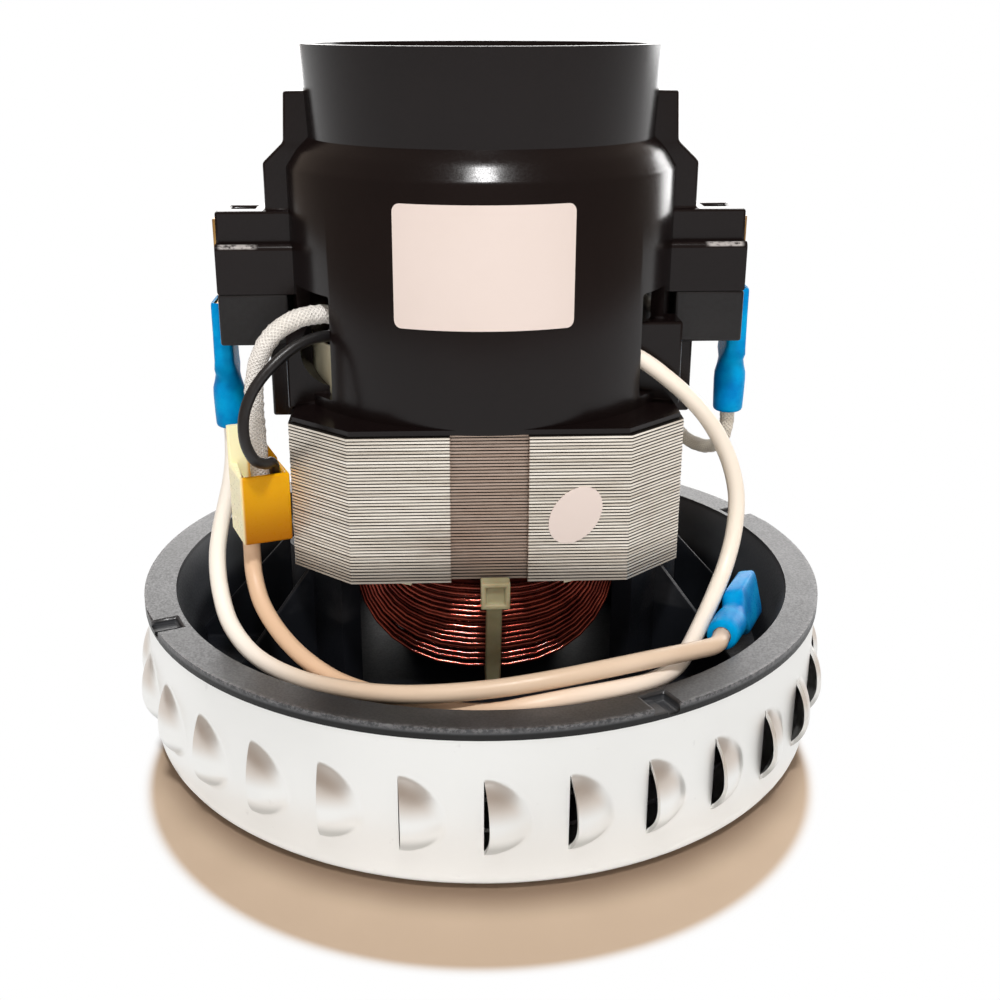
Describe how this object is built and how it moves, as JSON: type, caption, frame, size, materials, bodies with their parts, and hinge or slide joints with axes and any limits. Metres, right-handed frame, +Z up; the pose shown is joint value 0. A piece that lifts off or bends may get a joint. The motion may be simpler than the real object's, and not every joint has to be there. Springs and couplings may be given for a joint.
{
  "type": "vacuum motor unit",
  "caption": "Vacuum cleaner motor: louvred fan cover, black bowl frame, laminated field stator, moulded top casing, carbon brush gear, impeller and wired terminals.",
  "frame": {"origin": "centre of the fan cover's base, on the motor axis, on the surface that the unit stands on", "axes": "+Z up along the motor axis towards the neck, -Y to the front with the bare rating label, brushes along X"},
  "size_m": [0.1238, 0.1242, 0.1175],
  "materials": {
    "cover_aluminium": "matte pressed sheet",
    "frame_plastic": "satin moulding",
    "casing_plastic": "satin moulding",
    "lamination_steel": "stacked laminations",
    "slot_film": "film",
    "enamelled_copper": "enamelled wire",
    "nylon": "natural nylon",
    "label_film": "bare film",
    "brass": "plain",
    "carbon": "graphite block",
    "spring_steel": "plain wire",
    "terminal_vinyl": "translucent vinyl",
    "connector_plastic": "moulded",
    "white_insulation": "smooth insulation",
    "black_insulation": "smooth insulation",
    "woven_sleeve": "woven glass sleeve",
    "grey_sleeve": "woven glass sleeve",
    "bearing_steel": "ground",
    "rubber": "moulded",
    "shaft_steel": "turned",
    "commutator_copper": "turned",
    "impeller_aluminium": "pressed sheet",
    "fan_plastic": "moulded"
  },
  "bodies": {
    "housing": {"fan_cover": "cover_aluminium", "lower_frame": "frame_plastic", "stator_core": "lamination_steel", "slot_liners": "slot_film", "field_core_front": "enamelled_copper", "field_core_rear": "enamelled_copper", "field_winding_front": "enamelled_copper", "field_winding_rear": "enamelled_copper", "cable_tie_front": "nylon", "cable_tie_rear": "nylon", "top_casing": "casing_plastic", "rating_label": "label_film", "oval_sticker": "label_film", "brush_cap_left": "frame_plastic", "brush_cap_right": "frame_plastic", "brush_sleeve_left": "brass", "brush_sleeve_right": "brass", "brush_terminal_left": "brass", "brush_terminal_right": "brass", "terminal_sleeve_left": "terminal_vinyl", "terminal_sleeve_right": "terminal_vinyl", "terminal_sleeve_lead": "terminal_vinyl", "receptacle_left": "brass", "receptacle_right": "brass", "receptacle_lead": "brass", "connector_housing": "connector_plastic", "black_wire": "black_insulation", "sleeved_wire": "woven_sleeve", "link_wire": "white_insulation", "lead_wire": "white_insulation", "brush_wire_right": "grey_sleeve", "lower_bearing_outer": "bearing_steel", "upper_bearing_outer": "bearing_steel", "upper_bearing_ring": "rubber", "stator_screws": "shaft_steel"},
    "rotor": {"shaft": "shaft_steel", "shaft_spacer": "shaft_steel", "armature_core": "lamination_steel", "armature_winding": "enamelled_copper", "commutator": "commutator_copper", "impeller_back_plate": "impeller_aluminium", "impeller_shroud": "impeller_aluminium", "impeller_blades": "impeller_aluminium", "impeller_washers": "shaft_steel", "impeller_nut": "shaft_steel", "cooling_fan": "fan_plastic", "lower_bearing_inner": "bearing_steel", "upper_bearing_inner": "bearing_steel"},
    "lower_balls": {"lower_bearing_balls": "bearing_steel"},
    "upper_balls": {"upper_bearing_balls": "bearing_steel"},
    "brush_left": {"carbon_brush_left": "carbon", "brush_spring_left": "spring_steel"},
    "brush_right": {"carbon_brush_right": "carbon", "brush_spring_right": "spring_steel"}
  },
  "joints": [
    {"name": "rotor_spin", "type": "hinge", "parent": "housing", "child": "rotor", "pos_m": [0, 0, 0.05], "axis": [0, 0, 1], "continuous": true},
    {"name": "lower_balls_spin", "type": "hinge", "parent": "housing", "child": "lower_balls", "pos_m": [0, 0, 0.0175], "axis": [0, 0, 1], "continuous": true},
    {"name": "upper_balls_spin", "type": "hinge", "parent": "housing", "child": "upper_balls", "pos_m": [0, 0, 0.09775], "axis": [0, 0, 1], "continuous": true},
    {"name": "brush_left_slide", "type": "slide", "parent": "housing", "child": "brush_left", "axis": [-1, 0, 0], "range_m": [0, 0.006], "stiffness_N_per_m": 400, "springref_m": -0.006, "deforming": ["brush_spring_left"]},
    {"name": "brush_right_slide", "type": "slide", "parent": "housing", "child": "brush_right", "axis": [1, 0, 0], "range_m": [0, 0.006], "stiffness_N_per_m": 400, "springref_m": -0.006, "deforming": ["brush_spring_right"]}
  ],
  "couplings": [
    {"joint": "lower_balls_spin", "follows": "rotor_spin", "ratio": 0.36667},
    {"joint": "upper_balls_spin", "follows": "rotor_spin", "ratio": 0.36207}
  ]
}
